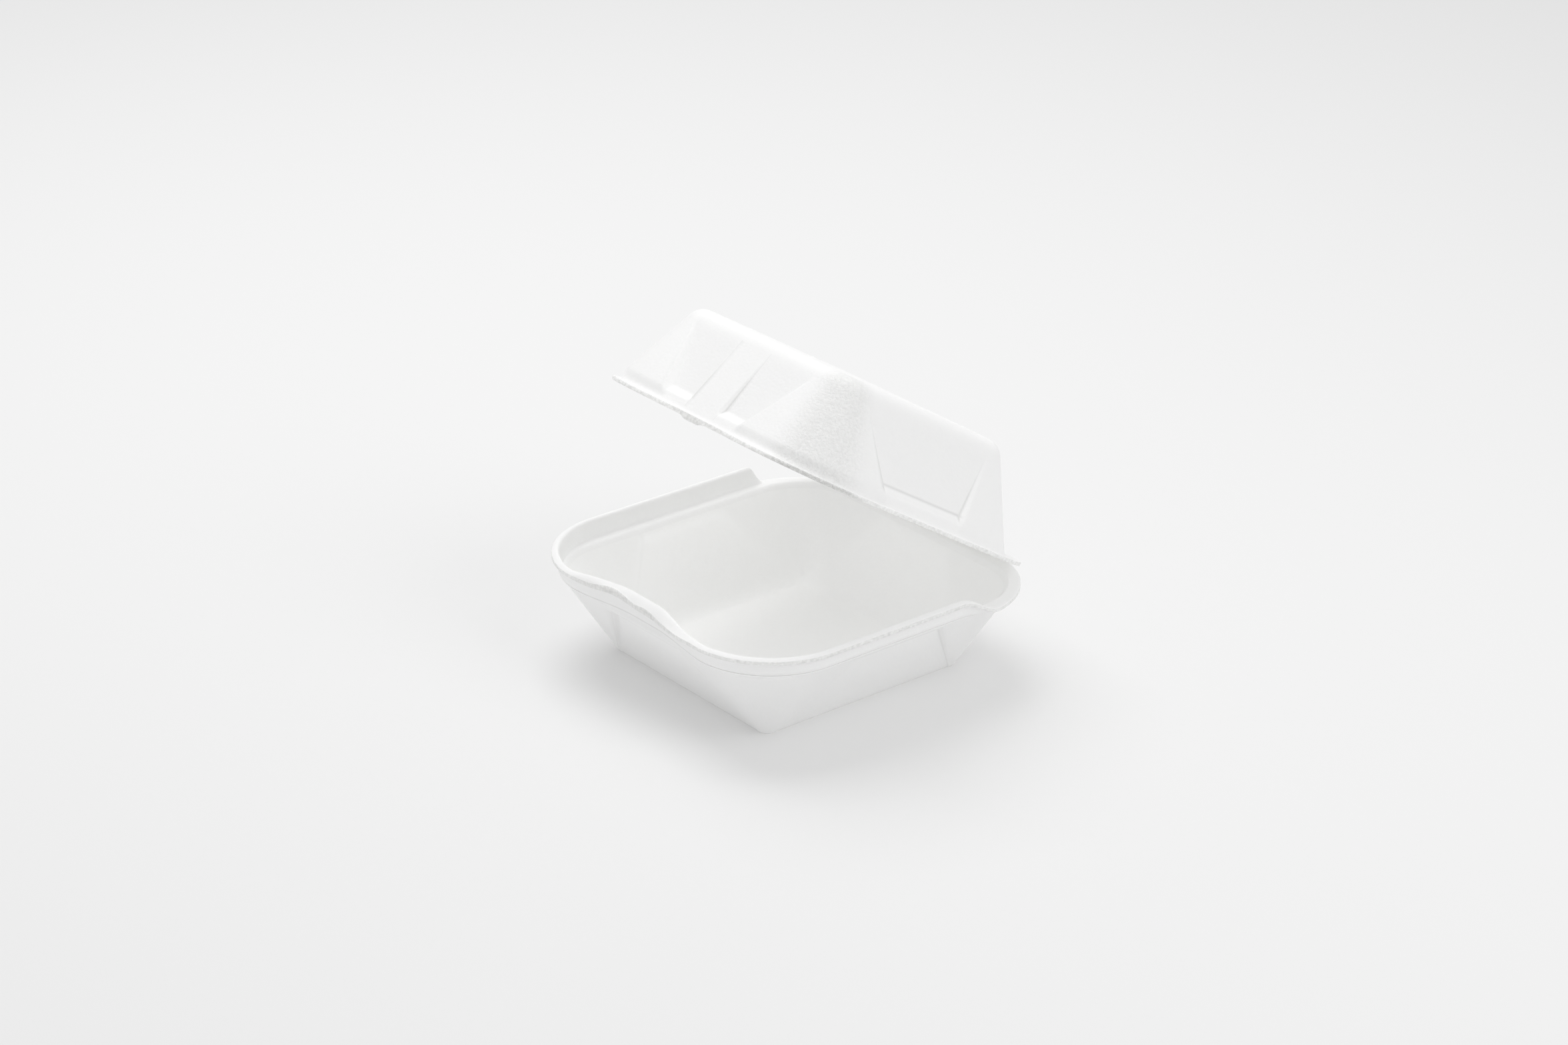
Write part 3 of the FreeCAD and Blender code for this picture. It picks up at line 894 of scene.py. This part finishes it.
@dataclass
class Lid:
    """The domed lid, drawn closed and then turned open about the hinge."""

    flange_z: float = 35.5
    flange_sheet: float = 1.6
    half: float = 70.8
    front: float = -68.4
    back: float = 74.3
    radius: float = 36.0
    foot_half: float = 66.6
    foot_front: float = -65.0
    foot_back: float = 65.5
    foot_r: float = 31.0
    roof_z: float = 74.8
    roof_half: float = 47.4
    roof_front: float = -49.0
    roof_back: float = 44.2
    roof_r: float = 9.0
    roof_curve: tuple[float, float] = (4.8, 5.2)
    ceiling_curve: tuple[float, float] = (3.2, 3.6)
    foot_curve: float = 1.5
    sheet: float = 2.0
    inner_gap: float = 1.3
    panel_z: tuple[float, float] = (42.5, 68.5)
    panel_halves: tuple[float, float] = (22.6, 35.0)
    panel_depth: tuple[float, float] = (2.4, 0.0)
    panel_y: float = -3.0
    lock_x: float = -2.0
    shoulder: float = 1.6
    shoulder_z: tuple[float, float] = (37.6, 42.6)
    ledge: float = 3.2
    ledge_low: float = 1.5
    panel_fade: float = 0.8
    panel_low: float = -0.1
    inner_drop: tuple[float, float] = (0.8, 1.6)
    inner_turn: float = 1.5
    inner_foot: float = 1.0
    # Strengths of painted shade lines drawn into the colour along the panels' creases and the
    # side panels' foot.
    crease_shade_floor: float = 0.45
    crease_shade_gain: float = 1.5
    front_crease_shade: float = 0.35
    foot_shade_line: tuple[float, float] = (1.5, 0.8)
    swell_y: tuple[float, float] = (-10.0, 50.0)
    notch_x: float = 1.0
    notch_half: float = 12.0
    notch_run: float = 18.0
    notch_y: float = -66.1
    notch_keep: float = 0.1
    tab_half: float = 6.6
    tab_slope: float = 2.2
    tab_drop: float = 1.0
    tab_back: float = 0.3
    tab_inside: float = 0.6
    flange_rows: tuple[tuple[float, float, Face], ...] = (
        (0.9, 0.0, Face.OUTER), (0.6, 0.0, Face.OUTER), (0.2, -0.04, Face.CUT),
        (0.06, -0.15, Face.CUT), (0.0, -0.5, Face.CUT), (0.0, -1.1, Face.CUT),
        (0.06, -1.46, Face.CUT), (0.2, -1.57, Face.CUT), (1.2, -1.6, Face.INNER),
        (2.4, -1.6, Face.INNER))
    fine_rows: tuple[float, float] = (45.0, 40.4)
    curve_gap: float = 0.3
    inner_rows: tuple[Stretch, ...] = ((37.2, 39.8, 4), (39.8, 44.4, 12), (44.4, 69.4, 21))
    # Line round which the lid's near corner is crinkled and darkened with painted shade.
    drawn: tuple[Triple, ...] = ((58.0, -57.0, 41.0), (46.0, -47.0, 71.0))
    hinge_half: float = 37.0
    bead_r: float = 0.7
    bead_turns: tuple[int, int, int] = (45, -226, -15)
    web_half: float = 0.5
    web_rise: float = 0.8
    opening: float = 32.5
    girth: Girth = field(default_factory=lambda: Girth(band_half=8.8, panel_crease=2.0))

    def wall(self, z: float, inner: bool = False) -> Ring:
        """Row of the lid's wall at a height, outside or inside the sheet."""
        gap = self.inner_gap if inner else 0.0
        low = self.flange_z if inner else self.flange_z + self.flange_sheet
        top = self.roof_z - self.sheet if inner else self.roof_z
        t = (z - low) / (top - low)
        mix = [a + (b - a) * t for a, b in (
            (self.foot_half - gap, self.roof_half - gap),
            (self.foot_front + gap, self.roof_front + gap),
            (self.foot_back - gap, self.roof_back - gap),
            (self.foot_r - self.inner_turn * gap, self.roof_r - self.inner_turn * gap))]
        drop = self.inner_drop if inner else (0.0, 0.0)
        bottom = self.panel_z[0] - drop[0]
        top_z = self.panel_z[1] - drop[1]
        share = (z - bottom) / (top_z - bottom)
        depth = self.panel_depth[0] + (self.panel_depth[1] - self.panel_depth[0]) * share
        depth *= float(ease((z - bottom + self.ledge_low) / self.ledge))
        depth *= 1.0 - float(ease((z - top_z) / self.panel_fade))
        share = min(max(share, self.panel_low), 1.0)
        half = self.panel_halves[0] + (self.panel_halves[1] - self.panel_halves[0]) * share
        low_z, high_z = self.shoulder_z
        swell = self.shoulder * float(ease((z - low_z) / (high_z - low_z)))
        swell *= min(1.0, (self.roof_z - z) / (self.roof_z - high_z))
        face = Face.INNER if inner else Face.OUTER
        return Ring(mix[0], mix[1], mix[2], mix[3], z, face, max(depth, 0.0), half, swell)

    def flange(self, grow: float, z: float, face: Face) -> Ring:
        """Row of the flange, set in from its cut edge by grow."""
        return Ring(self.half - grow, self.front + grow, self.back - grow,
                    self.radius - grow, z, face, 0.0, self.panel_halves[0])

    def row(self, ring: Ring, notched: bool = False, tab: float = 0.0) -> np.ndarray:
        """Points of one row.

        Args:
            ring: The row's outline and panel.
            notched: Whether the front is cut back to clear the catch.
            tab: How far the row follows the tab down, from 0 to 1.

        Returns:
            Array of (x, y, z), for the closed lid.
        """
        g = self.girth
        mid = 0.5 * (ring.front + ring.back)
        deep = 0.5 * (ring.back - ring.front)
        straight = np.where(g.side % 2 == 0, ring.half_x, deep) - ring.radius
        shift = (self.panel_y - mid) * min(1.0, ring.half_x / self.roof_half)
        centres = (self.lock_x, shift, 0.0, -shift)
        along = g.along(straight, ring.panel_half, centres, self.lock_x, g.panel_crease)
        flat = g.outline(ring, along + straight)
        pressed = ring.panel * (1.0 - g.in_band()) * g.in_panel()
        flat -= AWAY[g.side] * pressed[:, None]
        first, last = self.swell_y
        ahead = 1.0 - ease((flat[:, 1] - first) / (last - first))
        proud = ring.swell * (1.0 - g.in_panel()) * ahead
        angle = (g.turn * math.pi / 2)[:, None]
        flat += (AWAY[g.side] * np.cos(angle) + ALONG[g.side] * np.sin(angle)) * proud[:, None]
        if notched:
            away = np.abs(flat[:, 0] - self.notch_x)
            cut = self.notch_y + (self.front - self.notch_y) * ease(
                (away - self.notch_half) / self.notch_run)
            front = (g.side == 0) & (flat[:, 1] < cut)
            flat[:, 1] = np.where(front, cut + self.notch_keep * (flat[:, 1] - self.front),
                                  flat[:, 1])
        reach = np.where(g.side == 0, np.abs(flat[:, 0] - self.lock_x) / self.tab_half, 1.0)
        tongue = tab * ease((1.0 - reach) * self.tab_slope)
        flat[:, 1] += self.tab_back * tongue
        return np.column_stack([flat, ring.z - self.tab_drop * tongue])

    def creases(self, ring: Ring) -> np.ndarray:
        """How strongly painted shade darkens each column of an outer wall row along the creases,
        from 0 to 1.
        """
        g = self.girth
        edge = min(1.0, self.crease_shade_gain * ring.panel / self.panel_depth[0])
        flank = np.where(g.side % 2 == 0, self.front_crease_shade, 1.0) * g.on_panel_edge()
        above, half = self.foot_shade_line
        foot = max(0.0, 1.0 - abs(ring.z - self.panel_z[0] - above) / half) * (g.side % 2)
        band = max(edge, self.crease_shade_floor) * g.on_band_edge()
        return np.maximum.reduce([edge * flank, band, foot * g.in_panel()])

    def shell(self) -> Shell:
        """All rows of the lid, from its roof over the flange to its ceiling."""
        shell = Shell("lid_foam", crinkle_shade_axis=self.drawn)
        down, over = self.roof_curve
        roof = self.wall(self.roof_z)
        edge = roof.inset(over, self.roof_z)
        shell.fan(self.row(edge), FAN_OUT, Face.OUTER)
        for ring in bent(edge, roof, self.wall(self.roof_z - down), count=9):
            shell.add(self.row(ring), Face.OUTER)
        top = self.flange_z + self.flange_sheet
        fine_top, fine_foot = self.fine_rows
        for z in stepped(((self.roof_z - down - self.curve_gap, fine_top, 21),
                          (fine_top, fine_foot, 14), (fine_foot, top + self.foot_curve, 3))):
            ring = self.wall(z)
            # Painted shade along the panel creases and at the side panels' foot.
            shell.add(self.row(ring), Face.OUTER, self.creases(ring))
        foot = self.wall(top)
        out = foot.inset(-self.foot_curve, top)
        for ring in bent(self.wall(top + self.foot_curve), foot, out, count=7):
            shell.add(self.row(ring, True), Face.OUTER)
        for grow, z, face in self.flange_rows:
            shell.add(self.row(self.flange(grow, top + z, face), True,
                               min(1.0, -z / self.flange_sheet)), face)
        inner = self.wall(self.flange_z, True)
        run = self.inner_foot
        lip = Ring(inner.half_x + run, inner.front - run, inner.back + run, inner.radius + run,
                   self.flange_z, Face.INNER)
        for ring in bent(lip, inner, self.wall(self.flange_z + run, True), count=5):
            shell.add(self.row(ring, ring.z < self.flange_z + run / 2,
                               self.tab_inside * max(0.0, run + self.flange_z - ring.z)),
                      Face.INNER)
        for z in stepped(self.inner_rows):
            shell.add(self.row(self.wall(z, True)), Face.INNER)
        ceiling_z = self.roof_z - self.sheet
        ceiling = self.wall(ceiling_z, True)
        drop, over = self.ceiling_curve
        deep = ceiling.inset(over, ceiling_z)
        for ring in bent(self.wall(ceiling_z - drop, True), ceiling, deep, count=8):
            shell.add(self.row(ring), Face.INNER)
        shell.fan(self.row(deep), FAN_IN, Face.INNER)
        return shell

    def bead(self) -> Solid:
        """Pressed web and bead along the fold."""
        top = self.flange_z + self.web_rise
        turns = [math.radians(a) for a in range(*self.bead_turns)]
        section = [(HINGE_Y + self.bead_r * math.cos(a),
                    HINGE_Z + self.bead_r * math.sin(a)) for a in turns]
        section += [(HINGE_Y - self.web_half, top), (HINGE_Y + self.web_half, top)]
        return Solid.swept([[(x, y, z) for y, z in section]
                            for x in (-self.hinge_half, self.hinge_half)])

    def build(self, finishes: list[bpy.types.Material]) -> None:
        """Makes the lid's piece, open as it stands at rest."""
        piece = self.shell().mesh(finishes, (self.bead(),))
        axis = Vector((0.0, HINGE_Y * MM, HINGE_Z * MM))
        turn = Matrix.Rotation(-math.radians(self.opening), 4, "X")
        piece.data.transform(Matrix.Translation(axis) @ turn @ Matrix.Translation(-axis))
        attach(piece, "lid")
        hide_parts("lid")
        LOG.info("%s: %d faces", piece.name, len(piece.data.polygons))


@dataclass
class Fold:
    """Thin web of foam that wraps the hinge bead and joins base and lid."""

    half: float = 36.5
    inner_r: float = 0.78
    outer_r: float = 1.15
    turns: tuple[float, float] = (-182.0, 30.0)
    steps: int = 24

    def build(self, finish: bpy.types.Material) -> None:
        """Makes the web along the hinge."""
        sections = []
        for a in np.radians(np.linspace(*self.turns, self.steps)):
            sections.append([(x, HINGE_Y + r * math.cos(a), HINGE_Z + r * math.sin(a))
                             for x, r in ((-self.half, self.inner_r), (-self.half, self.outer_r),
                                          (self.half, self.outer_r), (self.half, self.inner_r))])
        solid = Solid.swept(sections)
        mesh = bpy.data.meshes.new("fold_web")
        mesh.from_pydata([tuple(v * MM for v in p) for p in solid.points], [], solid.faces)
        mesh.polygons.foreach_set("use_smooth", [True] * len(solid.faces))
        mesh.set_sharp_from_angle(angle=WEB_SHARP)
        mesh.materials.append(finish)
        piece = bpy.data.objects.new("fold_web", mesh)
        bpy.context.scene.collection.objects.link(piece)
        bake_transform(piece)
        LOG.info("%s: %d faces", piece.name, len(mesh.polygons))


@dataclass
class Studio:
    """Pale floor, soft light and the photograph's camera.

    Each lamp is given by its name, watts, width and place, the last two in metres.
    """

    target: Triple = (-44.71, 35.45, 30.0)
    azimuth: float = 51.09
    elevation: float = 24.90
    distance: float = 1584.2
    lens: float = 91.65
    sensor: float = 36.0
    floor_half: float = 4000.0
    floor_tone: float = 0.86
    floor_roughness: float = 0.9
    floor_gloss: float = 0.1
    world_level: float = 0.705
    lamps: tuple[tuple[str, float, float, Triple], ...] = (
        ("key", 5.0, 0.8, (-0.5, 0.12, 1.15)), ("side", 1.7, 0.6, (0.8, 0.25, 0.8)))
    aim: Triple = (0.0, 0.0, 0.05)
    reach: float = 50.0
    bounces: int = 14

    def floor(self) -> None:
        """A wide plain floor."""
        h = self.floor_half * MM
        mesh = bpy.data.meshes.new("floor")
        mesh.from_pydata([(-h, -h, 0), (h, -h, 0), (h, h, 0), (-h, h, 0)], [], [(0, 1, 2, 3)])
        made = bpy.data.materials.new("Pale floor")
        made.use_nodes = True
        shader = made.node_tree.nodes["Principled BSDF"]
        shader.inputs["Base Color"].default_value = (*(self.floor_tone,) * 3, 1.0)
        shader.inputs["Roughness"].default_value = self.floor_roughness
        shader.inputs["Specular IOR Level"].default_value = self.floor_gloss
        mesh.materials.append(made)
        floor = bpy.data.objects.new("floor", mesh)
        bpy.context.scene.collection.objects.link(floor)

    def light(self) -> None:
        """An even sky, a large soft lamp above and a weaker one at the side."""
        world = bpy.data.worlds.new("Studio")
        world.use_nodes = True
        sky = world.node_tree.nodes["Background"]
        sky.inputs["Color"].default_value = (1.0, 1.0, 1.0, 1.0)
        sky.inputs["Strength"].default_value = self.world_level
        bpy.context.scene.world = world
        for name, watts, size, place in self.lamps:
            data = bpy.data.lights.new(name, "AREA")
            data.shape = "SQUARE"
            data.size = size
            data.energy = watts
            lamp = bpy.data.objects.new(name, data)
            lamp.location = place
            aim = Vector(self.aim) - lamp.location
            lamp.rotation_euler = aim.to_track_quat("-Z", "Y").to_euler()
            bpy.context.scene.collection.objects.link(lamp)

    def camera(self) -> None:
        """The camera, at the photograph's place and angle."""
        data = bpy.data.cameras.new("camera")
        data.sensor_width = self.sensor
        data.lens = self.lens
        data.clip_end = self.reach
        camera = bpy.data.objects.new("camera", data)
        a, e = math.radians(self.azimuth), math.radians(self.elevation)
        back = Vector((math.sin(a) * math.cos(e), -math.cos(a) * math.cos(e), math.sin(e)))
        camera.location = (Vector(self.target) + back * self.distance) * MM
        camera.rotation_euler = back.to_track_quat("Z", "Y").to_euler()
        bpy.context.scene.collection.objects.link(camera)
        bpy.context.scene.camera = camera

    def build(self) -> None:
        """Sets the whole stage."""
        self.floor()
        self.light()
        self.camera()
        bpy.context.scene.view_settings.view_transform = "Standard"
        bpy.context.scene.cycles.max_bounces = 2 * self.bounces
        bpy.context.scene.cycles.diffuse_bounces = self.bounces
        LOG.info("studio set")


def main() -> None:
    """Builds the pieces in order and logs the face count of each."""
    logging.basicConfig(level=logging.INFO, format="%(message)s")
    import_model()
    grain = Grain().group()
    materials = [finish.material(grain) for finish in FINISHES]
    Studio().build()
    Tray().build(materials)
    Lid().build(materials)
    Fold().build(materials[0])


if __name__ == "__main__":
    main()
